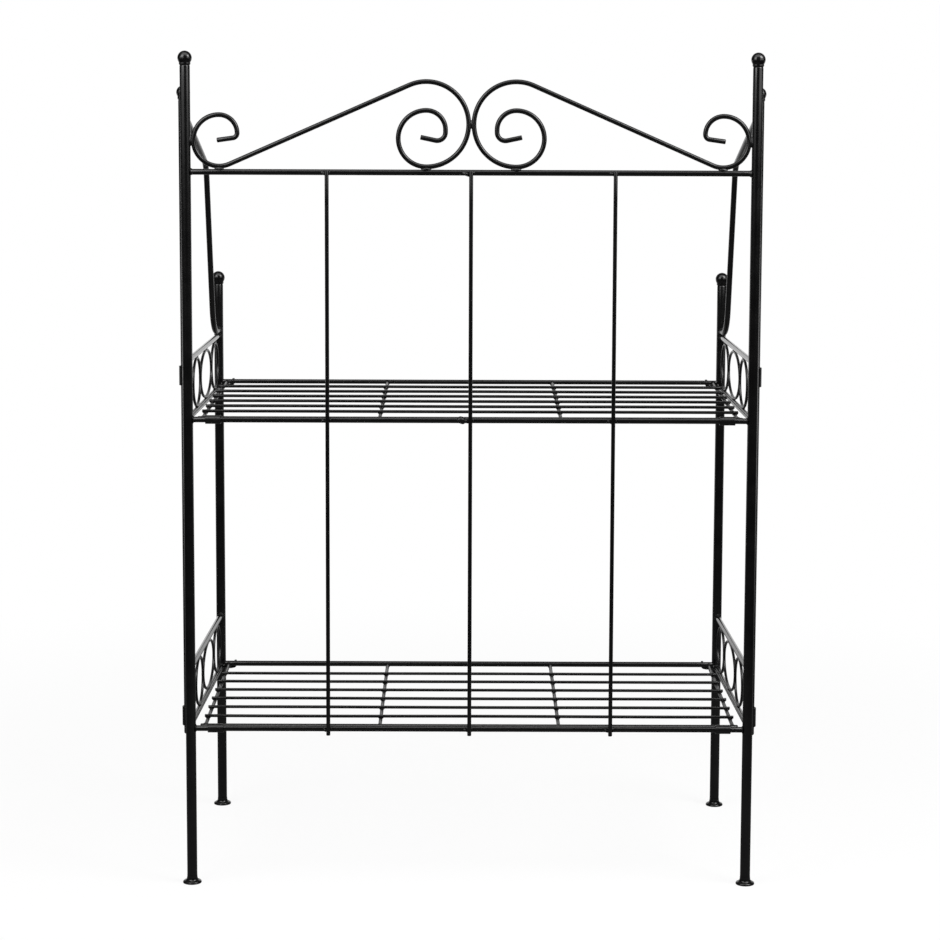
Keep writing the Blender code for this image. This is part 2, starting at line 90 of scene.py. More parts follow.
def skin(rings, poles=None):
    """Faces over rings[i, j]: quad (i, j) (i, j+1) (i+1, j+1) (i+1, j), going round in j.

    With two poles, the first and the last ring are closed by fans. Without, the rings close in i too.
    """
    count, around = rings.shape[:2]
    index = np.arange(count * around).reshape(count, around)
    below, above = (index, np.roll(index, -1, 0)) if poles is None else (index[:-1], index[1:])
    quads = np.stack([below, np.roll(below, -1, 1), np.roll(above, -1, 1), above], -1)
    quads = quads.reshape(-1, 4).tolist()
    points = rings.reshape(-1, 3)
    if poles is None:
        return points, quads
    first, last = len(points), len(points) + 1
    start = np.stack([np.full(around, first), np.roll(index[0], -1), index[0]], -1)
    end = np.stack([np.full(around, last), index[-1], np.roll(index[-1], -1)], -1)
    return np.vstack([points, poles]), quads + start.tolist() + end.tolist()


def joined(skins):
    """Several skins as one: the points one after another, and each skin's faces moved on to match."""
    starts = np.cumsum([0] + [len(points) for points, _ in skins])
    faces = [[corner + start for corner in face]
             for (_, rows), start in zip(skins, starts) for face in rows]
    return np.vstack([points for points, _ in skins]), faces


def painted(name, surface, finish):
    """An object at the origin whose smooth mesh is the skin, in the given finish."""
    points, faces = surface
    mesh = bpy.data.meshes.new(name)
    mesh.from_pydata(points.tolist(), [], faces)
    mesh.shade_smooth()
    mesh.materials.append(finish)
    made = bpy.data.objects.new(name, mesh)
    scene.collection.objects.link(made)
    return made


def piece(node, surface, finish, body, welds=None):
    """Hangs a painted skin on a body: in place of its CAD node, or beside it under the welds' name."""
    made = painted(welds or "coated_" + node, surface, finish)
    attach(made, body)
    if not welds:
        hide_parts(node)


# %% [markdown]
# ## Nodes as sums
# A finish is worked out from noise and masks. Node calls for that soon become hard to read, so a small
# class wraps a socket and lets `1 - mask` or `dust * 0.3` add the Math node that does it. Everything
# else, such as a noise or a bump, comes from its one `node` method.

# %% A socket with arithmetic


class Signal:
    """An output socket of a material's nodes. Sums with numbers or other signals add Math nodes."""

    def __init__(self, tree, socket=None):
        self.tree = tree
        self.socket = socket

    def node(self, kind, settings=None, values=None, output=0):
        """Adds a node: its settings first, then the values or links that its sockets take."""
        made = self.tree.nodes.new(kind)
        for key, value in (settings or {}).items():
            setattr(made, key, value)
        for key, value in (values or {}).items():
            if isinstance(value, Signal):
                self.tree.links.new(value.socket, made.inputs[key])
            else:
                made.inputs[key].default_value = value
        return Signal(self.tree, made.outputs[output])

    def sum_with(self, operation, first, second):
        """The Math node of one operation on two numbers or signals."""
        return self.node("ShaderNodeMath", {"operation": operation}, {0: first, 1: second})

    def __add__(self, other):
        return self.sum_with("ADD", self, other)

    def __sub__(self, other):
        return self.sum_with("SUBTRACT", self, other)

    def __rsub__(self, other):
        return self.sum_with("SUBTRACT", other, self)

    def __mul__(self, other):
        return self.sum_with("MULTIPLY", self, other)

    __radd__ = __add__
    __rmul__ = __mul__


# %% [markdown]
# ## Black powder coat
# The coat is a deep black, smooth enough to show lamps as soft stripes, with the slight orange peel of
# baked powder. Broad noise shifts the black and the gloss a little, and two finer ones raise the peel
# and the grain. Faces that look up hold a trace of dust, and a few specks are rubbed grey. The noise
# reads Object coordinates, which are metres because every piece sits at the origin, so a scale of 720
# means peel of about 1.4 mm. The thin rods at the top of the galleries are the glossiest, the welds the
# least.

# %% The coats
BLACK, SOFT_BLACK = (0.0024, 0.0024, 0.0026, 1.0), (0.0052, 0.0051, 0.0052, 1.0)
DUST, RUBBED = (0.055, 0.052, 0.047, 1.0), (0.060, 0.059, 0.057, 1.0)
BLACK_SHIFT, DUST_UPWARD, DUST_CLUMPS = (0.3, 0.7), (0.35, 1.0), (0.42, 0.75)
DUST_SHARE, RUB_SHARE, RUB_LEVEL, RUB_EDGE = 0.20, 0.5, 0.76, 0.04
PATCH_SCALE, DUST_SCALE, RUB_SCALE, PEEL_SCALE, GRAIN_SCALE = 46.0, 130.0, 310.0, 720.0, 2600.0
PATCH_GLOSS, GRAIN_GLOSS, DUST_GLOSS, RUB_GLOSS = 0.12, 0.08, 0.06, 0.10
COAT_SPECULAR, NOISE_ROUGHNESS, FINE_GRAIN = 0.5, 0.55, 0.0000002


def ramp(value, low, high, at_low=0.0, at_high=1.0, shape="LINEAR"):
    """at_low for values below low, at_high above high, and a rise of the given shape between."""
    values = {"Value": value, "From Min": low, "From Max": high, "To Min": at_low, "To Max": at_high}
    return value.node("ShaderNodeMapRange", {"interpolation_type": shape, "clamp": True}, values)


def between(share, first, second):
    """A colour that runs from the first to the second as the share goes from 0 to 1."""
    return share.node("ShaderNodeMix", {"data_type": "RGBA"}, {0: share, 6: first, 7: second}, 2)


def coat(name, gloss, peel, grain=FINE_GRAIN, wear=0.0):
    """Principled paint: black shifted by noise, roughness about gloss, bump of peel and grain metres."""
    made = bpy.data.materials.new("black_coat_on_" + name)
    made.use_nodes = True
    tree = made.node_tree
    shader = tree.nodes["Principled BSDF"]
    shader.inputs["Specular IOR Level"].default_value = COAT_SPECULAR
    start = Signal(tree)
    spot = start.node("ShaderNodeTexCoord", output="Object")

    def noise(scale, detail):
        """Noise about 0.5, in cells of 1/scale metres."""
        values = {"Vector": spot, "Scale": scale, "Detail": detail, "Roughness": NOISE_ROUGHNESS}
        return start.node("ShaderNodeTexNoise", {"noise_dimensions": "3D"}, values)

    patches, peels, grains = noise(PATCH_SCALE, 3.0), noise(PEEL_SCALE, 1.0), noise(GRAIN_SCALE, 2.0)
    facing = start.node("ShaderNodeNewGeometry", output="Normal")
    upward = start.node("ShaderNodeSeparateXYZ", values={"Vector": facing}, output="Z")
    dust = ramp(upward, *DUST_UPWARD) * ramp(noise(DUST_SCALE, 4.0), *DUST_CLUMPS)
    rubs = ramp(noise(RUB_SCALE, 3.0), RUB_LEVEL - wear, RUB_LEVEL + RUB_EDGE - wear)
    black = between(ramp(patches, *BLACK_SHIFT), BLACK, SOFT_BLACK)
    colour = between(rubs * RUB_SHARE, between(dust * DUST_SHARE, black, DUST), RUBBED)
    rough = gloss + (patches - 0.5) * PATCH_GLOSS + (grains - 0.5) * GRAIN_GLOSS
    rough = rough + dust * DUST_GLOSS + rubs * RUB_GLOSS
    height = peels * peel + grains * grain
    bump = start.node("ShaderNodeBump", values={"Height": height, "Distance": 1.0, "Strength": 1.0})
    for key, value in (("Base Color", colour), ("Roughness", rough), ("Normal", bump)):
        tree.links.new(value.socket, shader.inputs[key])
    return made


TUBE_COAT = coat("tube", 0.21, 0.0000010)
ROD_COAT = coat("rod", 0.26, 0.0000014)
GALLERY_COAT = coat("galleries", 0.10, 0.0000008)
WIRE_COAT = coat("wire", 0.29, 0.0000014)
BALL_COAT = coat("castings", 0.21, 0.0000030)
SLEEVE_COAT = coat("sleeves", 0.34, 0.0000040, wear=0.05)
FOOT_COAT = coat("feet", 0.20, 0.0000025, wear=0.03)
WELD_COAT = coat("welds", 0.36, 0.000012, 0.000002)
print("coats", TUBE_COAT.name, "to", WELD_COAT.name)

# %% [markdown]
# ## Rods along a path
# Posts, rails, scrolls and wires are one idea at several sizes: a circle carried along a line. The
# circle stands square to the path, and near each end it shrinks along a quarter round, because a cut
# rod is deburred and then coated.

# %% The rod
END_ROUND, END_MARGIN, ROD_SIDES = 0.3, 1.05, 24
END_TURN = np.linspace(np.pi / 2, 0.0, 4)


def unit(ways):
    """Ways of length one: each row over the root of its sum of squares."""
    return ways / np.linalg.norm(ways, axis=-1, keepdims=True)


def full_turn(count):
    """Angles once round in even steps, the last one step short of the first."""
    return np.linspace(0, 2 * np.pi, count, endpoint=False)


def swept(centres, tangents, radii, across, sides, poles=None):
    """Circles square to the tangents: across is first freed of its share along each tangent."""
    tangents = unit(tangents)
    side = unit(across - tangents * (tangents @ across)[:, None])
    other = np.cross(tangents, side)
    angle = full_turn(sides)[None, :, None]
    ring = np.cos(angle) * side[:, None] + np.sin(angle) * other[:, None]
    return skin(centres[:, None] + radii[:, None, None] * ring, poles)


def rod(path, radius, across, sides=ROD_SIDES, corner=None):
    """A circle of the radius carried along the path, with quarter-round ends of the corner's radius.

    Point = centre(s) + r(s) (cos a * across + sin a * tangent x across). At a distance
    corner (1 - sin t) from an end, r is the radius less corner (1 - cos t).
    """
    corner = radius * END_ROUND if corner is None else corner
    steps = np.concatenate([[0.0], np.cumsum(np.linalg.norm(np.diff(path, axis=0), axis=1))])
    length = steps[-1]
    off = corner * (1 - np.sin(END_TURN))
    thin = radius - corner * (1 - np.cos(END_TURN))
    inner = steps[(steps > corner * END_MARGIN) & (steps < length - corner * END_MARGIN)]
    stations = np.concatenate([off, inner, (length - off)[::-1]])
    radii = np.concatenate([thin, np.full(len(inner), radius), thin[::-1]])
    centres = np.stack([np.interp(stations, steps, path[:, k]) for k in range(3)], -1)
    tangents = np.gradient(centres, stations, axis=0)
    return swept(centres, tangents, radii, across, sides, path[[0, -1]])


def straight(start, end, steps):
    """Evenly spaced points on the line from start to end."""
    share = np.linspace(0, 1, steps)[:, None]
    return np.asarray(start) * (1 - share) + np.asarray(end) * share


# %% [markdown]
# ## The posts
# Two tall posts carry the back panel. Each end frame has a rear post that stops short of the floor and
# turns in the sleeves, and a short front post. All six are steel tube, about 10 mm across. They are
# swept with many sides, because the soft stripe of a lamp down a post shows every facet.

# %% Six posts
X_AXIS, Y_AXIS, Z_AXIS = np.eye(3)
SIDES = (("left", -1.0), ("right", 1.0))
POST, POST_SIDES, POST_STEPS = 0.00525, 56, 24


def upright(node, body, radius=POST, steps=POST_STEPS, sides=POST_SIDES):
    """A rod from the foot to the top of its node. For a tube it is the outside."""
    piece(node, rod(straight(*ends(node, UP), steps), radius, X_AXIS, sides), TUBE_COAT, body)


for side, _ in SIDES:
    upright("back_post_" + side, "back_panel")
    upright(side + "_rear_post", side + "_side")
    upright(side + "_front_post", side + "_side")

# %% [markdown]
# ## Balls and feet
# A pressed ball closes the top of each post. It sits on a short collar, a little wider than the tube,
# and the paint rounds the step between them. The rear balls are a hair smaller, because they turn close
# beside the back posts. A foot is a flange with a flared skirt. Both are turned shapes: a profile of
# radius and height goes round the post's axis. The profiles are in millimetres; the collar's foot
# counts from the rim of the post, and its neck from where the ball begins.

# %% Turned shapes
MM_IN_METRE = 1000
BALL, REAR_BALL, BALL_RINGS, CROWN_GAP = 0.0073, 0.0071, 24, 0.04
COLLAR, SEAT, TURNED_SIDES = 0.0059, 0.0003, 48
COLLAR_FOOT = np.array([
    (-0.2, -0.9), (0.04, -0.7), (0.2925, -0.3), (0.5525, 0.1), (0.65, 0.5)]) / MM_IN_METRE
COLLAR_NECK = np.array([(0, -0.9), (-0.08, -0.4)]) / MM_IN_METRE
FOOT_PROFILE = np.array([
    (7.6, 0.35), (7.9, 0.0), (9.25, 0.0), (9.55, 0.12), (9.72, 0.45), (9.75, 0.9), (9.68, 1.45),
    (9.4, 1.95), (8.9, 2.35), (8.2, 2.65), (7.4, 2.90), (6.7, 3.25), (6.2, 3.7), (5.85, 4.4),
    (5.6, 5.3), (5.45, 6.4), (5.34, 7.8), (5.27, 9.0), (5.15, 9.3)]) / MM_IN_METRE


def turned(profile, centre):
    """A profile of (radius, height) turned about the upright axis through the centre, foot first."""
    angle = full_turn(TURNED_SIDES)
    radius, height = profile[:, :1], profile[:, 1:]
    rings = np.broadcast_arrays(radius * np.cos(angle), radius * np.sin(angle), height)
    poles = np.array([[0, 0, profile[0, 1]], [0, 0, profile[-1, 1]]])
    base = np.array([centre[0], centre[1], 0.0])
    return skin(np.stack(rings, -1) + base, poles + base)


def ball_finial(node, post, body, size=BALL):
    """A ball, r = R cos t and z = top - R + R sin t, down to the width of the collar that it sits on."""
    _, top = ends(post, UP)
    crown = span(node)[1][2]
    turn = np.linspace(-np.arccos(COLLAR / size), np.pi / 2 - CROWN_GAP, BALL_RINGS)
    ball = np.stack([size * np.cos(turn), crown - size + size * np.sin(turn)], -1)
    foot = COLLAR_FOOT + (POST, top[2] + SEAT)
    neck = COLLAR_NECK + (COLLAR, ball[0, 1])
    piece(node, turned(np.vstack([foot, neck, ball]), top), BALL_COAT, body)


def flange_foot(node, body):
    """The foot's profile turned about the middle of its node."""
    piece(node, turned(FOOT_PROFILE, middle(node)), FOOT_COAT, body)


for side, _ in SIDES:
    ball_finial("back_finial_" + side, "back_post_" + side, "back_panel")
    flange_foot("back_foot_" + side, "back_panel")
    ball_finial(side + "_rear_finial", side + "_rear_post", side + "_side", REAR_BALL)
    ball_finial(side + "_front_finial", side + "_front_post", side + "_side")
    flange_foot(side + "_front_foot", side + "_side")

# %% [markdown]
# ## Rails and uprights of the panel
# Three rods run from post to post, and three thin uprights are laid over their outer side and welded.
# Each is read from its CAD box and swept between its ends.

# %% Straight rods of the panel
PANEL_RAILS = ("top_rail", "upper_shelf_rail", "lower_shelf_rail")
UPRIGHTS = ("left", "centre", "right")
PANEL_RAIL, PANEL_SIDES, RAIL_STEPS, RAIL_SIDES = 0.003, 32, 20, 28
UPRIGHT, UPRIGHT_SIDES = 0.0021, 20


def rail(node, body, radius, sides=RAIL_SIDES, lift=0.0):
    """A rod along x between the ends of its node, both raised by the lift."""
    left, right = ends(node, ACROSS)
    path = straight(left + lift * Z_AXIS, right + lift * Z_AXIS, RAIL_STEPS)
    piece(node, rod(path, radius, Z_AXIS, sides), ROD_COAT, body)


for node in PANEL_RAILS:
    rail(node, "back_panel", PANEL_RAIL, PANEL_SIDES)
for place in UPRIGHTS:
    upright("upright_" + place, "back_panel", UPRIGHT, RAIL_STEPS, UPRIGHT_SIDES)

# %% [markdown]
# ## The scrolls
# The pair on the top rail is the stand's ornament: one rod wound into a large spiral near the middle,
# run off to the post in a long slope, and curled back into a small spiral. Each spiral is made of arcs
# that meet in line. The path below is worked out in the panel's plane, as across and up from the middle
# of the rail, and the right one mirrors the left.

# %% Arcs that meet in line
SCROLL, PITCH, FINE_PITCH, LEAST_POINTS = 0.0025, 0.0024, 0.0012, 5
LARGE_TURN, LARGE_RETURN, LARGE_EYE, LARGE_BEND = 0.043, 0.0285, 0.0195, 0.0085
LARGE_EYE_DROP, LARGE_TAIL, LARGE_TAIL_RISE = 0.0025, 0.0155, np.radians(12)
SMALL_TURN, SMALL_EYE, SMALL_BEND = 0.026, 0.0185, 0.005
SMALL_TAIL, SMALL_TAIL_RISE = 0.0165, np.radians(-8)


def arc(centre, radius, start, end, pitch=PITCH):
    """Points on a circle: centre + radius (cos a, sin a) for a from start to end, about pitch apart."""
    count = max(LEAST_POINTS, int(abs(end - start) * radius / pitch) + 2)
    angle = np.linspace(start, end, count)
    return centre + radius * np.stack([np.cos(angle), np.sin(angle)], -1)


def tail_tip(bend, radius, angle, length):
    """The tip of the straight end: length on from where the bend stops, in line with it."""
    start = bend + radius * np.array([np.cos(angle), np.sin(angle)])
    run = angle - np.pi / 2
    return (start + length * np.array([np.cos(run), np.sin(run)]))[None]


def scroll_path():
    """The left scroll as across and up, and where its turns stand.

    Tail, bend, eye, return and large turn, then the slope, then small turn, eye, bend and tail.
    """
    post_face = abs(middle("back_post_left")[0]) - POST
    large_x = -SCROLL - SEAT / 2 - LARGE_TURN
    small_x = SMALL_TURN - (post_face - SEAT - SCROLL)
    across, up = large_x - small_x, LARGE_TURN - SMALL_TURN
    slope = np.arcsin((LARGE_TURN + SMALL_TURN) / np.hypot(across, up)) + np.arctan2(up, across)
    eye = (large_x, 2 * LARGE_RETURN - LARGE_EYE)
    bend = (large_x + LARGE_EYE - LARGE_BEND, eye[1] - LARGE_EYE_DROP)
    bend_end = -np.pi / 2 - LARGE_TAIL_RISE
    small_eye = (small_x, 2 * SMALL_TURN - SMALL_EYE)
    small_bend = (small_x + SMALL_EYE - SMALL_BEND, small_eye[1])
    small_end = -np.pi / 2 - SMALL_TAIL_RISE
    parts = [
        tail_tip(bend, LARGE_BEND, bend_end, LARGE_TAIL),
        arc(bend, LARGE_BEND, bend_end, 0, FINE_PITCH),
        arc(eye, LARGE_EYE, 0, np.pi / 2),
        arc((large_x, LARGE_RETURN), LARGE_RETURN, np.pi / 2, 1.5 * np.pi)[1:],
        arc((large_x, LARGE_TURN), LARGE_TURN, -np.pi / 2, np.pi / 2 + slope)[1:],
        arc((small_x, SMALL_TURN), SMALL_TURN, slope - np.pi / 2, -1.5 * np.pi),
        arc(small_eye, SMALL_EYE, np.pi / 2, 0)[1:],
        arc(small_bend, SMALL_BEND, 0, small_end, FINE_PITCH)[1:],
        tail_tip(small_bend, SMALL_BEND, small_end, SMALL_TAIL),
    ]
    return np.vstack(parts), large_x, small_x


SCROLL_LINE, LARGE_X, SMALL_X = scroll_path()
SCROLL_BASE = TOP_RAIL_Z + PANEL_RAIL + SEAT + SCROLL
across, up = SCROLL_LINE.T
for side, sign in SIDES:
    line = np.stack([-sign * across, np.full(len(across), BACK_Y), SCROLL_BASE + up], -1)
    piece("scroll_" + side, rod(line, SCROLL, Y_AXIS), ROD_COAT, "back_panel")
print("scroll points", len(up), "top of the scrolls", round(float(SCROLL_BASE + up.max()), 4))

# %% [markdown]
# ## Sleeves
# Short lengths of tube are the hinges: four stand on the back posts, and the ends' rear posts turn in
# them; two on each shelf turn round the panel's rails. Their bore shows at the ends, so the profile is
# a closed loop with chamfers.

# %% Bored sleeves
TIERS = ("upper", "lower")
HINGE_OUTER, HINGE_BORE, HINGE_SIDES = 0.00695, 0.00555, 48
SHELF_OUTER, SHELF_BORE, SLEEVE_SIDES = 0.0045, 0.0033, 36
SLEEVE_CHAMFER, CORNER_SHARE, SLEEVE_STEPS = 0.00035, 0.3, 6


def sleeve(start, end, outer, bore, across, sides):
    """A loop of (radius, along) carried round the axis: outside, end face, bore and end face again."""
    length, cut = np.linalg.norm(end - start), SLEEVE_CHAMFER
    mid = np.linspace(2 * cut, length - 2 * cut, SLEEVE_STEPS)
    corner = (outer - cut * CORNER_SHARE, cut * CORNER_SHARE)
    outside = [(outer - cut, 0.0), corner, (outer, cut)]
    loop = outside + [(outer, along) for along in mid]
    loop += [(radius, length - along) for radius, along in outside[::-1]]
    loop += [(bore + cut, length), (bore, length - cut)] + [(bore, along) for along in mid[::-1]]
    loop = np.array(loop + [(bore, cut), (bore + cut, 0.0)])
    axis = (end - start) / length
    centres = start + loop[:, 1:] * axis
    return swept(centres, np.broadcast_to(axis, centres.shape), loop[:, 0], across, sides)


for side, _ in SIDES:
    for tier in TIERS:
        node = f"hinge_sleeve_{side}_{tier}"
        surface = sleeve(*ends(node, UP), HINGE_OUTER, HINGE_BORE, X_AXIS, HINGE_SIDES)
        piece(node, surface, SLEEVE_COAT, "back_panel")
        node = f"{tier}_shelf_sleeve_{side}"
        surface = sleeve(*ends(node, ACROSS), SHELF_OUTER, SHELF_BORE, Z_AXIS, SLEEVE_SIDES)
        piece(node, surface, SLEEVE_COAT, tier + "_shelf")

# %% [markdown]
# ## The hinged ends
# Each end is a flat frame between its rear and its front post. Its parts are drawn as forward and up in
# the plane of the two posts, which leans in a little.

# %% The plane of an end


def end_frame(side):
    """The rear axis, the unit step forward to the front post, the length between, and the square way."""
    rear, front = middle(side + "_rear_post"), middle(side + "_front_post")
    run = (front - rear) * (1, 1, 0)
    length = np.linalg.norm(run)
    ahead = run / length
    return rear * (1, 1, 0), ahead, length, np.cross(ahead, Z_AXIS)


def in_frame(side, forward_up):
    """Points of the end's plane in space: rear axis + forward * ahead + up * z."""
    rear, ahead, _, _ = end_frame(side)
    forward_up = np.asarray(forward_up, float)
    return rear + forward_up[:, :1] * ahead + forward_up[:, 1:] * Z_AXIS


print("post to post", {side: round(float(end_frame(side)[2]), 4) for side, _ in SIDES})

# %% [markdown]
# ### Galleries
# A gallery keeps the pots from sliding off: two rods with three wire ovals between them. The ovals
# touch each other and both rods. An oval is one closed loop of wire, so its skin closes on itself and
# needs no poles.

# %% Rods and ovals
GALLERY_RAIL, GALLERY_STEPS, GALLERY_SIDES = 0.003, 16, 28
RING, RING_STEPS, RING_SIDES = 0.0015, 96, 16
END_RING, MIDDLE_RING, RING_ROW_SHIFT, BITE = 0.062, 0.098, 0.023, 0.0006


def ring_row(side):
    """The middles of the three ovals, as forward, with the length of each."""
    row = end_frame(side)[2] / 2 + RING_ROW_SHIFT
    step = (MIDDLE_RING + END_RING) / 2 - BITE
    return (row - step, END_RING), (row, MIDDLE_RING), (row + step, END_RING)


def oval(side, forward, height, length, width):
    """A closed wire: forward + half length * cos a, height + half width * sin a, less its radius."""
    angle = full_turn(RING_STEPS)
    along, up = length / 2 - RING, width / 2 - RING
    flat = np.stack([forward + along * np.cos(angle), height + up * np.sin(angle)], -1)
    slope = np.stack([-along * np.sin(angle), up * np.cos(angle)], -1)
    _, ahead, _, square = end_frame(side)
    tangents = slope[:, :1] * ahead + slope[:, 1:] * Z_AXIS
    return swept(in_frame(side, flat), tangents, np.full(RING_STEPS, RING), square, RING_SIDES)


def gallery(side, tier):
    """The bottom and the top rod between the posts, and the ovals that fill the room between them."""
    _, _, length, square = end_frame(side)
    heights = []
    for place, finish in (("bottom", ROD_COAT), ("top", GALLERY_COAT)):
        node = f"{side}_{tier}_gallery_{place}"
        height = middle(node)[2]
        run = (POST + SEAT, height), (length - POST - SEAT, height)
        path = in_frame(side, straight(*run, GALLERY_STEPS))
        piece(node, rod(path, GALLERY_RAIL, square, GALLERY_SIDES), finish, side + "_side")
        heights.append(height)
    low, high = heights
    level, tall = (low + high) / 2, high - low - 2 * (GALLERY_RAIL + SEAT)
    surface = joined([oval(side, spot, level, size, tall) for spot, size in ring_row(side)])
    piece(f"{side}_{tier}_rings", surface, WIRE_COAT, side + "_side")


# %% [markdown]
# ### The sweep
# Above the upper gallery a rod runs down from the top of the rear post, turns steeper at a knee, and
# turns again to lie level on the gallery up to the front post.

# %% Two ends
SWEEP, SWEEP_SIDES, SLOPE_STEPS, BEND_STEPS = 0.00315, 28, 12, 12
SWEEP_DROP, SWEEP_SLOPE = 0.0146, np.radians(18)
KNEE_SETBACK, KNEE_RADIUS = 0.1037, 0.028
FOOT_SETBACK, FOOT_RADIUS = 0.0502, 0.040


def fillet(before, corner, after, radius):
    """The arc that rounds a corner, between two points radius / tan(half the angle) away from it.

    Point = centre + (A sin((1 - s) turn) + B sin(s turn)) / sin(turn), A and B the arms to its ends.
    """
    back, on = unit(before - corner), unit(after - corner)
    half = np.arccos(np.clip(back @ on, -1, 1)) / 2
    centre = corner + unit(back + on) * radius / np.sin(half)
    first, last = (corner + way * radius / np.tan(half) - centre for way in (back, on))
    swing = np.linspace(0, 1, BEND_STEPS)[:, None]
    turn = np.pi - 2 * half
    return centre + (first * np.sin((1 - swing) * turn) + last * np.sin(swing * turn)) / np.sin(turn)


def sweep_line(side):
    """The sweep in space: down the slope, round the knee, and round again into the level foot."""
    length = end_frame(side)[2]
    top = span(side + "_rear_post")[1][2]
    start = np.array([POST + SEAT + SWEEP * np.sin(SWEEP_SLOPE), top - SWEEP_DROP])
    knee = length - KNEE_SETBACK
    high = np.array([knee, start[1] - (knee - start[0]) * np.tan(SWEEP_SLOPE)])
    level = middle(side + "_upper_gallery_top")[2] + GALLERY_RAIL + SEAT + SWEEP
    low, end = np.array([(length - FOOT_SETBACK, level), (length - POST - SEAT, level)])
    first, second = fillet(start, high, low, KNEE_RADIUS), fillet(high, low, end, FOOT_RADIUS)
    line = np.vstack([straight(start, first[0], SLOPE_STEPS), first[1:], second, [end]])
    return in_frame(side, line)


for side, _ in SIDES:
    for tier in TIERS:
        gallery(side, tier)
    surface = rod(sweep_line(side), SWEEP, end_frame(side)[3], SWEEP_SIDES)
    piece(side + "_sweep_rail", surface, ROD_COAT, side + "_side")

# %% [markdown]
# ## Hooks for the shelves
# A bent wire on each front post passes under the shelf's front rod and turns up before it, so the
# shelf drops in from above and stays. The front rods lie a little above their solids, 3.5 mm on the
# upper shelf and 1 mm on the lower, as in the picture, and the hooks follow them. The upper shelf's
# rods are also drawn thinner, 5 mm to 6 mm.

# %% Four hooks
HOOK, HOOK_SIDES, HOOK_ROUND = 0.0014, 16, 0.0007
BEND_POINTS, BEND_LIMIT = 8, 1 / 2.1
HOOK_UNDER, HOOK_REACH, HOOK_RISE, HOOK_CLEAR, HOOK_BEND = 0.0112, 0.017, 0.0030, 0.001, 0.003
SHELF_ROD = {"upper": 0.0025, "lower": 0.003}
FRONT_LIFT = {"upper": 0.0035, "lower": 0.001}


def bent(points, radius):
    """Straight runs with each corner P as (1-t)^2 A + 2 t (1-t) P + t^2 B, A and B a radius away."""
    share = np.linspace(0, 1, BEND_POINTS)[:, None]
    path = [points[0][None]]
    for before, corner, after in zip(points, points[1:], points[2:]):
        back, on = before - corner, after - corner
        first = corner + back * min(radius / np.linalg.norm(back), BEND_LIMIT)
        last = corner + on * min(radius / np.linalg.norm(on), BEND_LIMIT)
        path.append((1 - share) ** 2 * first + 2 * share * (1 - share) * corner + share**2 * last)
    return np.vstack(path + [points[-1][None]])


def front_rod(tier):
    """The middle of a shelf's front rod as it lies in its hooks."""
    return middle(tier + "_shelf_front_rail") + FRONT_LIFT[tier] * Z_AXIS


def hook_line(side, sign, tier):
    """From the post, under the front rod, and up in front of it."""
    post, thick = middle(side + "_front_post"), SHELF_ROD[tier]
    _, rail_y, shelf = front_rod(tier)
    low = shelf - thick - SEAT - HOOK
    spot = np.array([post[0], post[1], low])
    under = np.array([post[0] - sign * HOOK_UNDER, rail_y, low])
    toe = np.array([post[0] - sign * HOOK_REACH, rail_y + thick + HOOK_CLEAR + HOOK, low])
    start = spot + unit(under - spot) * (POST + SEAT)
    return bent([start, under, toe, toe + Z_AXIS * (shelf + HOOK_RISE - low)], HOOK_BEND)


for side, sign in SIDES:
    for tier in TIERS:
        surface = rod(hook_line(side, sign, tier), HOOK, Y_AXIS, HOOK_SIDES, HOOK_ROUND)
        piece(f"{side}_{tier}_hook", surface, WIRE_COAT, side + "_side")

# %% [markdown]
# ## The shelves
# A shelf is a welded mat of wire: six long wires on four cross wires, a rod along the front and the
# back, and two sleeves that it folds on. The mat rises slightly to the front, so it is drawn in its own
# plane, from the panel's rail to a line 1 mm under the middle of the front rod. Wire off a coil is
# never quite straight, so each long wire gets a bow of a few tenths of a millimetre.

# %% Wire mats
LONG_WIRE, LONG_STEPS, LONG_SIDES = 0.00165, 40, 14
CROSS_WIRE, CROSS_STEPS, CROSS_SIDES = 0.0019, 24, 16
WIRE_COUNT, FIRST_WIRE, LAST_WIRE = 6, 0.0405, 0.0565
INNER_CROSS, END_CROSS_SETBACK, WIRE_OVERRUN = 0.0935, 0.0048, 0.0035
LIFT, MAT_DROP, MAX_BOW, BOW_SEED = LONG_WIRE + CROSS_WIRE - BITE, 0.001, 0.0003, 7


def mat_plane(tier):
    """The rail's middle, the unit step from it to the front rod, the depth between, and the way up."""
    base, front = middle(tier + "_shelf_rail"), front_rod(tier) - MAT_DROP * Z_AXIS
    run = (front - base) * (0, 1, 1)
    depth = np.linalg.norm(run)
    ahead = run / depth
    return base * (0, 1, 1), ahead, depth, np.cross(X_AXIS, ahead)


def mat_lines(tier):
    """The long wires' and cross wires' ends: base + x across + setback * ahead + lift * up."""
    base, ahead, depth, up = mat_plane(tier)
    end_x = span(tier + "_shelf_front_rail")[1][0] - END_CROSS_SETBACK
    rear = SHELF_OUTER + SEAT + 2 * SHELF_ROD[tier] + SEAT
    front = depth - SHELF_ROD[tier] - SEAT
    crosses = [(base + x * X_AXIS + rear * ahead, base + x * X_AXIS + front * ahead)
               for x in (-end_x, -INNER_CROSS, INNER_CROSS, end_x)]
    reach = (end_x + WIRE_OVERRUN) * X_AXIS
    longs = [(base - reach + row * ahead + LIFT * up, base + reach + row * ahead + LIFT * up)
             for row in np.linspace(FIRST_WIRE, depth - LAST_WIRE, WIRE_COUNT)]
    return longs, crosses


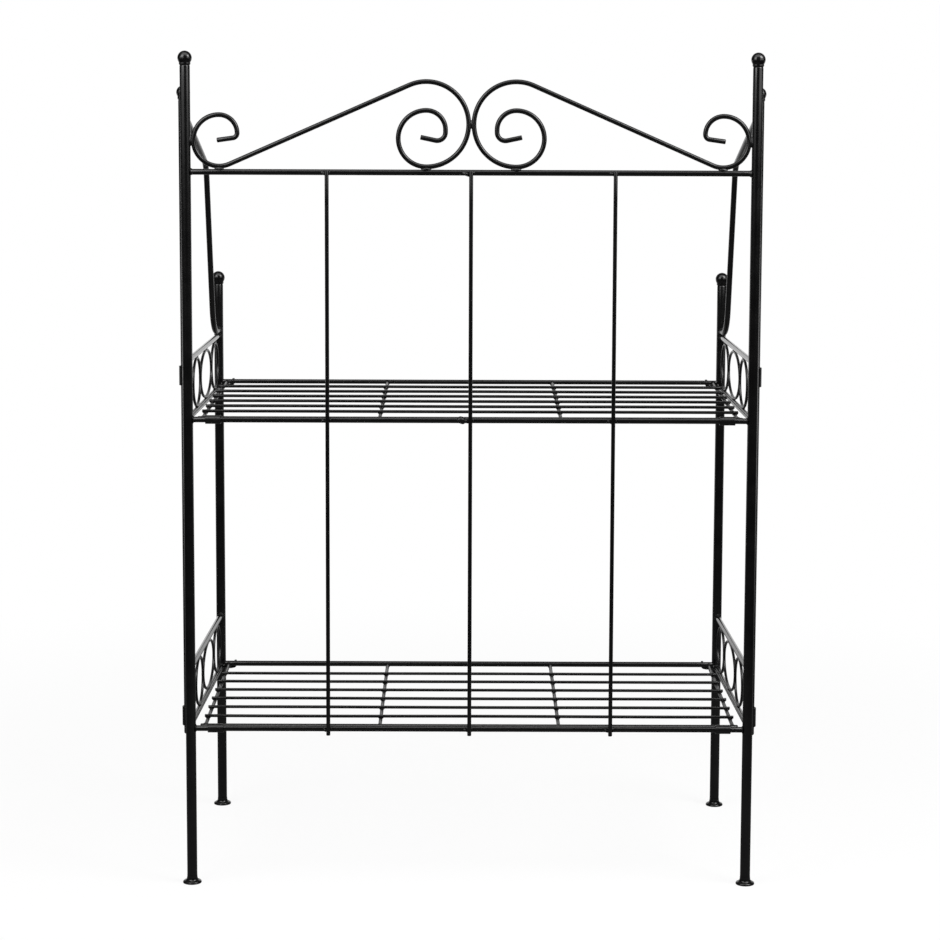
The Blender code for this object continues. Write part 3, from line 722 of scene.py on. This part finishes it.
def bowed(start, end, bow):
    """A line with a slow S: bow sin(2 pi t) sin(pi t) along y, half the bow sin(3 pi t) along z."""
    line = straight(start, end, LONG_STEPS)
    share = np.linspace(0, 1, LONG_STEPS)
    line[:, 1] += bow * np.sin(2 * np.pi * share) * np.sin(np.pi * share)
    line[:, 2] += bow / 2 * np.sin(3 * np.pi * share)
    return line


chance = np.random.default_rng(BOW_SEED)
for tier in TIERS:
    longs, crosses = mat_lines(tier)
    bows = chance.uniform(-MAX_BOW, MAX_BOW, WIRE_COUNT)
    wires = [rod(bowed(*line, bow), LONG_WIRE, Z_AXIS, LONG_SIDES) for line, bow in zip(longs, bows)]
    wires += [rod(straight(*line, CROSS_STEPS), CROSS_WIRE, Z_AXIS, CROSS_SIDES) for line in crosses]
    body = tier + "_shelf"
    piece(body + "_grid", joined(wires), WIRE_COAT, body)
    rail(body + "_rear_rail", body, SHELF_ROD[tier])
    rail(body + "_front_rail", body, SHELF_ROD[tier], lift=FRONT_LIFT[tier])

# %% [markdown]
# ## Welds
# Every fixed joint is welded, and the lumps show through the paint: beads in the angle where two rods
# touch, and collars where a rod's end meets a post. A bead is a rod whose radius swells from nothing
# and back, with the ripples of the moving torch and an uneven side. A collar is wide at the post and
# fades along the rod. All the beads of one part are worked out in one go, one row for each, from a
# seeded generator, so every run gives the same welds.

# %% Beads and collars
BEAD_RINGS, BEAD_SIDES, BEAD_TIP = 15, 12, 0.03
RIPPLE_PITCH, RIPPLE, TWIST, WANDER = 0.0016, 0.07, 0.12, 0.10
COLLAR_RINGS, COLLAR_SIDES, FADE, BROAD_LUMP, FINE_LUMP = 9, 20, 1.6, 0.22, 0.16
TUCK, END_TUCK, STEEP = 0.0001, 0.0003, 0.9


def closed_rings(centre, radius, angle, axis, first, last):
    """Rings centre + r (cos a * side + sin a * other), square to each row's axis, with poles."""
    helper = np.where(np.abs(axis[:, 2:]) < STEEP, Z_AXIS, X_AXIS)
    side = unit(np.cross(helper, axis))
    other = np.cross(axis, side)
    cosine, sine = np.cos(angle)[..., None], np.sin(angle)[..., None]
    rings = centre + radius[..., None] * (cosine * side[:, None, None] + sine * other[:, None, None])
    return joined([skin(one, np.array(poles)) for one, *poles in zip(rings, first, last)])


def beads(rows, seed):
    """Rows of (start, end, radius). Along u and round a, r = R sin(pi u)^0.5 times ripples and lumps."""
    start, end, size = (np.array(column) for column in zip(*rows))
    run = end - start
    length = np.linalg.norm(run, axis=1, keepdims=True)
    u = np.linspace(0, 1, BEAD_RINGS)[None, :, None]
    angle = full_turn(BEAD_SIDES)[None, None, :]
    phase = np.random.default_rng(seed).uniform(0, 2 * np.pi, (len(rows), 4, 1, 1))
    ripple = 1 + RIPPLE * np.sin(2 * np.pi * u * length[:, :, None] / RIPPLE_PITCH + phase[:, 0])
    lump = 1 + TWIST * np.cos(2 * angle + 3 * u + phase[:, 1])
    lump = lump + WANDER * np.cos(2 * np.pi * u + phase[:, 2] + angle)
    swell = np.sin(np.pi * np.clip(u, BEAD_TIP, 1 - BEAD_TIP)) ** 0.5
    radius = size[:, None, None] * swell * ripple * lump
    centre = start[:, None, None] + u[..., None] * run[:, None, None]
    return closed_rings(centre, radius, angle, run / length, start, end)


def collars(rows, seed):
    """Rows of (foot, way, rod, reach, height). Along u, r = rod + height (1 - u)^1.6 with lumps."""
    foot, axis, thick, reach, height = (np.array(column, float) for column in zip(*rows))
    axis = unit(axis)
    thick, reach, height = (values[:, None, None] for values in (thick, reach, height))
    u = np.linspace(0, 1, COLLAR_RINGS)[None, :, None]
    angle = full_turn(COLLAR_SIDES)[None, None, :]
    phase = np.random.default_rng(seed).uniform(0, 2 * np.pi, (len(rows), 3, 1, 1))
    lump = 1 + BROAD_LUMP * np.sin(2 * angle + phase[:, 0])
    lump = lump + FINE_LUMP * np.sin(5 * angle + 2 * u + phase[:, 1])
    radius = thick - TUCK + height * (1 - u) ** FADE * lump
    radius = np.where(u == 1, thick - END_TUCK, radius)
    centre = foot[:, None, None] + (u * reach)[..., None] * axis[:, None, None]
    return closed_rings(centre, radius, angle, axis, foot, foot + reach[:, 0] * axis)


def welds(name, node, body, rows, rings, seed, ring_seed):
    """One piece of a body's welds: a bead for each row, a collar for each ring. Its node is not used."""
    surface = joined([beads(rows, seed), collars(rings, ring_seed)])
    piece(node, surface, WELD_COAT, body, name)
    print(name, len(rows), "beads", len(rings), "collars")


def seam(start, end, sideways, offsets, radius):
    """The rows of one seam: a bead from start to end for each offset, moved sideways by it."""
    return [(start + sideways * offset, end + sideways * offset, radius) for offset in offsets]


# %% [markdown]
# ### Welds of the back panel
# The scrolls sit on short fat beads along the top rail and touch each other and the posts. The welder
# came at each upright from the left, so its fat beads sit there. The rails' ends have collars on the
# posts, short ones on the shelf rails, where sleeves turn close by.

# %% Panel welds
SLANT, LONG_SLANT = (0.0062, 0.0016, 0.0026), (0.0090, 0.0021, 0.0036)
RAIL_LUMP, SIDE_BEAD = (0.0150, 0.0040, 0.0043), 0.0010
FACE_SHARE, SLANT_GAP, SIDE_GAP, SIDE_DROP, SIDE_RISE = 0.75, 0.0006, 0.0005, 0.0024, 0.0020
LARGE_SEAM, SMALL_SEAM, POST_SEAM, PAIR_SEAM = 0.0052, 0.0046, 0.0056, 0.0044
RAIL_BEADS, POST_BEADS = ((-0.0013, 0.0011), 0.0019), ((-0.0016, 0.0012), 0.0019)
PAIR_BEADS, HINGE_BEADS = ((-0.0010, 0.0010), 0.0013), ((-0.0021, 0.0021), 0.0015)
SEAM_INSET, TOP_COLLAR, SHELF_COLLAR, COLLAR_SWELL = 0.0025, 0.0026, 0.0012, 0.0012
PANEL_SEEDS = 11, 12


def upright_rows():
    """Beads in the angle of each upright and rail, fat and slanting on the left, slight on the right.

    The middle upright's bead at the top is longer, and a lump sits beside it on the upper rail.
    """
    rows = []
    face = BACK_Y - PANEL_RAIL * FACE_SHARE
    for place in UPRIGHTS:
        x, y, _ = middle("upright_" + place)
        right, back = x + UPRIGHT + SIDE_GAP, y + UPRIGHT
        for node in PANEL_RAILS:
            z = middle(node)[2]
            if (place, node) == ("centre", "upper_shelf_rail"):
                far, near, fat = RAIL_LUMP
                rows.append(((x - far, BACK_Y, z), (x - near, BACK_Y, z), fat))
            reach, fat, fall = LONG_SLANT if (place, node) == ("centre", "top_rail") else SLANT
            rows.append(((x - reach, face, z + SLANT_GAP), (x - SLANT_GAP, face, z - fall), fat))
            rows.append(((right, back, z - SIDE_DROP), (right, back, z + SIDE_RISE), SIDE_BEAD))
    return rows


def scroll_rows():
    """Beads along the rail under each turn, up the posts at the small turns, and between the pair."""
    rows = []
    level = TOP_RAIL_Z + PANEL_RAIL + SEAT / 2
    for _, sign in SIDES:
        for across, half in ((LARGE_X, LARGE_SEAM), (SMALL_X, SMALL_SEAM)):
            line = [(-sign * across + step, BACK_Y, level) for step in (-half, half)]
            rows += seam(*line, Y_AXIS, *RAIL_BEADS)
        face, height = sign * (abs(middle("back_post_left")[0]) - POST), SCROLL_BASE + SMALL_TURN
        line = [(face, BACK_Y, height + step) for step in (-POST_SEAM, POST_SEAM)]
        rows += seam(*line, Y_AXIS, *POST_BEADS)
    line = [(0, BACK_Y, SCROLL_BASE + LARGE_TURN + step) for step in (-PAIR_SEAM, PAIR_SEAM)]
    return rows + seam(*line, Y_AXIS, *PAIR_BEADS)


def hinge_rows():
    """Beads down both sides of the line where a sleeve touches its post."""
    rows = []
    for side, _ in SIDES:
        for tier in TIERS:
            foot, top = ends(f"hinge_sleeve_{side}_{tier}", UP)
            post = middle("back_post_" + side)
            way = unit((foot - post) * (1, 1, 0))
            touch = post * (1, 1, 0) + way * (POST + SEAT / 2)
            line = [touch + Z_AXIS * z for z in (foot[2] + SEAM_INSET, top[2] - SEAM_INSET)]
            rows += seam(*line, np.cross(way, Z_AXIS), *HINGE_BEADS)
    return rows


def rail_collars():
    """A collar on each end of the three rails, starting just inside the post."""
    rows = []
    for node in PANEL_RAILS:
        reach = TOP_COLLAR if node == "top_rail" else SHELF_COLLAR
        for end, way in zip(ends(node, ACROSS), (X_AXIS, -X_AXIS)):
            rows.append((end - SEAT * way, way, PANEL_RAIL, reach, COLLAR_SWELL))
    return rows


rows = upright_rows() + scroll_rows() + hinge_rows()
welds("welds_of_back_panel", "top_rail", "back_panel", rows, rail_collars(), *PANEL_SEEDS)

# %% [markdown]
# ### Welds of the hinged ends
# Each gallery rod has a collar on both posts, except where a hinge sleeve sits right against it: there
# the collar is left off, so that the post can turn. The ovals are tacked to the rods above and below
# and to each other, the sweep and the hooks to their posts.

# %% End welds
END_TACK, MIDDLE_TACK, OVAL_TACK = 0.0042, 0.0050, 0.0045
END_SEED, COLLAR_SEEDS = 21, 10
TACK_BEADS, OVAL_BEADS = ((-0.0008, 0.0008), 0.0011), ((-0.0006, 0.0006), 0.0010)
GALLERY_COLLAR, HOOK_COLLAR, SWEEP_COLLAR = (0.0022, 0.0011), (0.0018, 0.0009), (0.0026, 0.0011)


def oval_rows(side, low, high):
    """Beads along forward at the ovals' tops and bottoms, and upright ones where two ovals meet."""
    square = end_frame(side)[3]
    rows = []
    for height in (low + GALLERY_RAIL + SEAT / 2, high - GALLERY_RAIL - SEAT / 2):
        for (spot, _), half in zip(ring_row(side), (END_TACK, MIDDLE_TACK, END_TACK)):
            line = in_frame(side, [(spot - half, height), (spot + half, height)])
            rows += seam(*line, square, *TACK_BEADS)
    level, (row, _) = (low + high) / 2, ring_row(side)[1]
    for spot in (row - MIDDLE_RING / 2 + BITE / 2, row + MIDDLE_RING / 2 - BITE / 2):
        line = in_frame(side, [(spot, level - OVAL_TACK), (spot, level + OVAL_TACK)])
        rows += seam(*line, square, *OVAL_BEADS)
    return rows


def end_collars(side, sign, tier, low, high):
    """Collars on both ends of the two gallery rods, but for the one beside a sleeve, and on the hook."""
    _, ahead, length, _ = end_frame(side)
    rows = []
    beside_sleeve = high if tier == "upper" else low
    for height in (low, high):
        rear, front = in_frame(side, [(POST, height), (length - POST, height)])
        if height != beside_sleeve:
            rows.append((rear, ahead, GALLERY_RAIL, *GALLERY_COLLAR))
        rows.append((front, -ahead, GALLERY_RAIL, *GALLERY_COLLAR))
    hook = hook_line(side, sign, tier)
    way = unit(hook[1] - hook[0])
    return rows + [(hook[0] - way * SEAT, way, HOOK, *HOOK_COLLAR)]


for seed, (side, sign) in enumerate(SIDES, END_SEED):
    rows, rings = [], []
    for tier in TIERS:
        low, high = (middle(f"{side}_{tier}_gallery_{place}")[2] for place in ("bottom", "top"))
        rows += oval_rows(side, low, high)
        rings += end_collars(side, sign, tier, low, high)
    sweep = sweep_line(side)
    for end, inner in ((sweep[0], sweep[1]), (sweep[-1], sweep[-2])):
        way = unit(inner - end)
        rings.append((end - way * SEAT * 2, way, SWEEP, *SWEEP_COLLAR))
    name, node = f"welds_of_{side}_end", side + "_sweep_rail"
    welds(name, node, side + "_side", rows, rings, seed, seed + COLLAR_SEEDS)

# %% [markdown]
# ### Welds of the shelves
# A mat is spot welded: the wires sink into each other and squeeze out a small lump at every crossing.
# Cross wires are tacked to the front and the rear rod, and the rear rod to the sleeves.

# %% Shelf welds
SPOT_HALF, SPOT_BEAD, SLEEVE_BEADS = 0.0028, 0.0015, ((-0.0011, 0.0011), 0.0012)
WIRE_COLLAR, SHELF_SEED = (0.0024, 0.0011), 41

for seed, tier in enumerate(TIERS, SHELF_SEED):
    base, ahead, _, up = mat_plane(tier)
    longs, crosses = mat_lines(tier)
    rows, rings = [], []
    for wire, _ in longs:
        for cross, _ in crosses:
            spot = wire * (0, 1, 1) + cross * (1, 0, 0) - up * LONG_WIRE
            rows.append((spot - X_AXIS * SPOT_HALF, spot + X_AXIS * SPOT_HALF, SPOT_BEAD))
    for start, end in crosses:
        for tip, way in ((end, -ahead), (start, ahead)):
            rings.append((tip - way * SEAT, way, CROSS_WIRE, *WIRE_COLLAR))
    touch = base + ahead * (SHELF_OUTER + SEAT / 2)
    for side, _ in SIDES:
        low, high = span(f"{tier}_shelf_sleeve_{side}")
        line = [touch + X_AXIS * x for x in (low[0] + SEAM_INSET, high[0] - SEAM_INSET)]
        rows += seam(*line, up, *SLEEVE_BEADS)
    body = tier + "_shelf"
    welds("welds_of_" + body, body + "_grid", body, rows, rings, seed, seed + COLLAR_SEEDS)

# %% [markdown]
# ## The studio floor
# The picture is a cut-out on white. The floor is a wide disc that shows white to the camera and in
# reflections through Light Path, with a share of diffuse white that takes the stand's shadow and fades
# out with distance, so no horizon shows. In reflections it is white behind the stand and dark on the
# side of the camera: gloss paint is black only where it mirrors something dark.

# %% The floor
FLOOR_RINGS, FLOOR_SIDES = np.array([[9.0], [3.0], [0.75]]), 96
FLOOR_LEVEL = -0.0002
MIRRORED = ("Is Glossy Ray", "Is Transmission Ray")
DARK_SIDE, DARK_END, LIT_START = 0.03, -0.2, 4.0
SHADOW_SHARE, SHADOW_START, SHADOW_REACH = 0.12, 0.5, 1.4
WHITE, MATT_WHITE = (1, 1, 1, 1), (0.9, 0.9, 0.9, 1)


def disc(size, height):
    """Rings (size cos a, size sin a, height) of shrinking size, closed by a pole: a floor facing up."""
    angle = full_turn(FLOOR_SIDES)
    rings = np.stack(np.broadcast_arrays(size * np.cos(angle), size * np.sin(angle), height), -1)
    points, faces = skin(rings, np.array([[0.0, 0.0, height]] * 2))
    return points, faces[: 2 * FLOOR_SIDES] + faces[-FLOOR_SIDES:]


def rays(start, *names):
    """The sum of Light Path's outputs of these names: 1 for a ray of such a kind, 0 for the rest."""
    kinds = [start.node("ShaderNodeLightPath", output=name) for name in names]
    return sum(kinds[1:], kinds[0])


floor_paint = bpy.data.materials.new("white_studio_floor")
floor_paint.use_nodes = True
tree = floor_paint.node_tree
tree.nodes.remove(tree.nodes["Principled BSDF"])
start = Signal(tree)
spot = start.node("ShaderNodeTexCoord", output="Object")
forward = start.node("ShaderNodeSeparateXYZ", values={"Vector": spot}, output="Y")
distance = start.node("ShaderNodeVectorMath", {"operation": "LENGTH"}, {0: spot}, "Value")
lit = ramp(forward, DARK_END, LIT_START, DARK_SIDE, 1.0, "SMOOTHSTEP")
level = rays(start, "Is Camera Ray") + rays(start, *MIRRORED) * lit
glow = start.node("ShaderNodeEmission", values={"Color": WHITE, "Strength": level})
matt = start.node("ShaderNodeBsdfDiffuse", values={"Color": MATT_WHITE})
share = ramp(distance, SHADOW_START, SHADOW_REACH, SHADOW_SHARE, 0.0, "SMOOTHSTEP")
both = start.node("ShaderNodeMixShader", values={0: share, 1: glow, 2: matt})
tree.links.new(both.socket, tree.nodes["Material Output"].inputs["Surface"])
painted("studio_floor", disc(FLOOR_RINGS, FLOOR_LEVEL), floor_paint)
print("floor rings of radius", FLOOR_RINGS.ravel())

# %% [markdown]
# ## The backdrop
# The world takes the place of a backdrop. It does what the floor does: white to the camera, white in
# reflections straight behind the stand and dark elsewhere, and a low even light for everything else.

# %% The world
WORLD_FILL, SIDEWAYS, STRAIGHT_BEHIND = 0.25, 0.75, 0.97
world = bpy.data.worlds.new("white_studio")
scene.world = world
world.use_nodes = True
start = Signal(world.node_tree)
heading = start.node("ShaderNodeTexCoord", output="Object")
behind = start.node("ShaderNodeSeparateXYZ", values={"Vector": heading}, output="Y")
mirrored, seen = rays(start, *MIRRORED), rays(start, "Is Camera Ray")
level = seen + mirrored * ramp(behind, SIDEWAYS, STRAIGHT_BEHIND, DARK_SIDE, 1.0, "SMOOTHSTEP")
level = level + (1 - seen - mirrored) * WORLD_FILL
background = world.node_tree.nodes["Background"]
background.inputs["Color"].default_value = WHITE
world.node_tree.links.new(level.socket, background.inputs["Strength"])
print("world fill", WORLD_FILL)

# %% [markdown]
# ## Soft boxes
# Two soft boxes, left and right in front, make the highlights on the balls. Two dim panels under them
# draw the wide stripes on the upper posts: a post mirrors what stands at its own height, so the stripes
# fade out where the panels end. One more box overhead lights the tops of the rails.

# %% Five lamps
LAMPS = {
    "left_box": ((-0.95, -0.95, 1.47), (-0.2, -0.1, 0.75), (0.9, 0.70), 5.3),
    "right_box": ((1.15, -0.75, 1.70), (0.2, -0.1, 0.75), (0.8, 0.75), 11.0),
    "left_panel": ((-1.10, -0.90, 1.01), (-0.3, -0.1, 0.99), (1.4, 0.50), 1.25),
    "right_panel": ((1.10, -0.75, 1.03), (0.2, -0.1, 1.01), (1.2, 0.50), 1.9),
    "over_box": ((0.0, -0.7, 2.3), (0, 0, 0.5), (2.4, 1.2), 2.2),
}


def soft_box(name, place, aim, size, radiance):
    """A rectangle lamp that looks from its place to the aim. Watts = radiance * pi * width * height."""
    lamp = bpy.data.lights.new(name, "AREA")
    lamp.shape = "RECTANGLE"
    lamp.size, lamp.size_y = size
    lamp.energy = radiance * np.pi * size[0] * size[1]
    holder = bpy.data.objects.new(name, lamp)
    turn = (Vector(aim) - Vector(place)).to_track_quat("-Z", "Y")
    holder.matrix_world = Matrix.Translation(place) @ turn.to_matrix().to_4x4()
    scene.collection.objects.link(holder)
    return round(lamp.energy, 2)


print("watts", {name: soft_box(name, *setting) for name, setting in LAMPS.items()})

# %% [markdown]
# ## The camera
# The view is from behind the tall panel, at about the height of its balls, with a long lens from about
# 2.8 m away. The shift keeps the posts nearly upright in the picture.

# %% The view
LENS, SENSOR, SHIFT = 100.26, 36.0, -0.0819
CAMERA_SPOT = (-0.006, -2.817, 0.841)
LOOK_DOWN, LOOK_ASIDE, ROLL = np.radians((6.9, -0.12, 0.20))

camera_data = bpy.data.cameras.new("view")
camera_data.sensor_width, camera_data.lens, camera_data.shift_y = SENSOR, LENS, SHIFT
camera = bpy.data.objects.new("view", camera_data)
tilt = Euler((np.pi / 2 - LOOK_DOWN, 0, LOOK_ASIDE), "XYZ").to_matrix().to_4x4()
camera.matrix_world = Matrix.Translation(CAMERA_SPOT) @ tilt @ Matrix.Rotation(ROLL, 4, "Z")
scene.collection.objects.link(camera)
scene.camera = camera
scene.view_settings.view_transform = "Standard"
print("camera at", CAMERA_SPOT, "lens", LENS)
